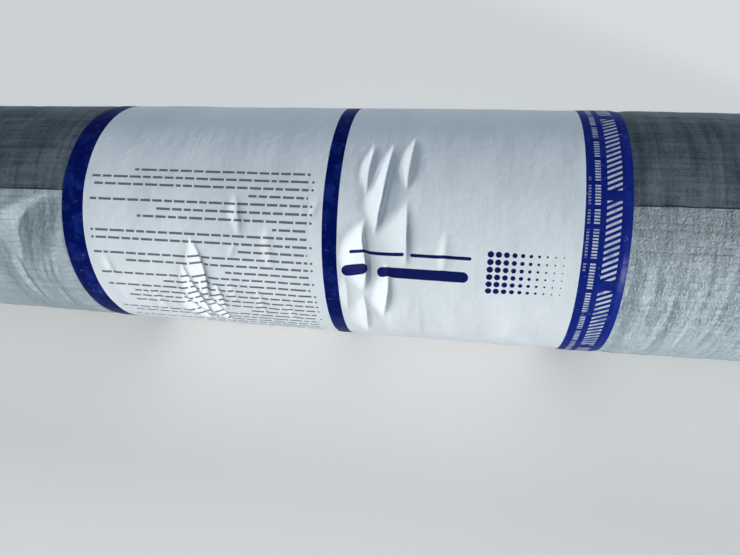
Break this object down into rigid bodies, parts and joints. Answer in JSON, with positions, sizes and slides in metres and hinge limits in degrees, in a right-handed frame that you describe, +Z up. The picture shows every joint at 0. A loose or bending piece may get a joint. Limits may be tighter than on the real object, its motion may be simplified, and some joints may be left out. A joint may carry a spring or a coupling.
{
  "type": "roll of synthetic roofing underlayment",
  "caption": "Roll of woven, coated roofing underlayment wound on a paperboard tube, held shut by a printed film band, with its loose tail along the top of the front.",
  "frame": {"origin": "on the floor under the middle of the roll's length, straight below the axis of its bore", "axes": "+X along the bore's axis, +Z up; seen from the front, from -Y, -X is on the left; the sheet's free edge lies high on the front, 30 degrees forward of the top"},
  "size_m": [1.2192, 0.1509, 0.1505],
  "materials": {
    "membrane": "satin",
    "paperboard": "matte",
    "label_film": "satin"
  },
  "bodies": {
    "root": {"membrane_roll": "membrane", "core_tube": "paperboard", "label_wrap": "label_film"}
  },
  "joints": []
}
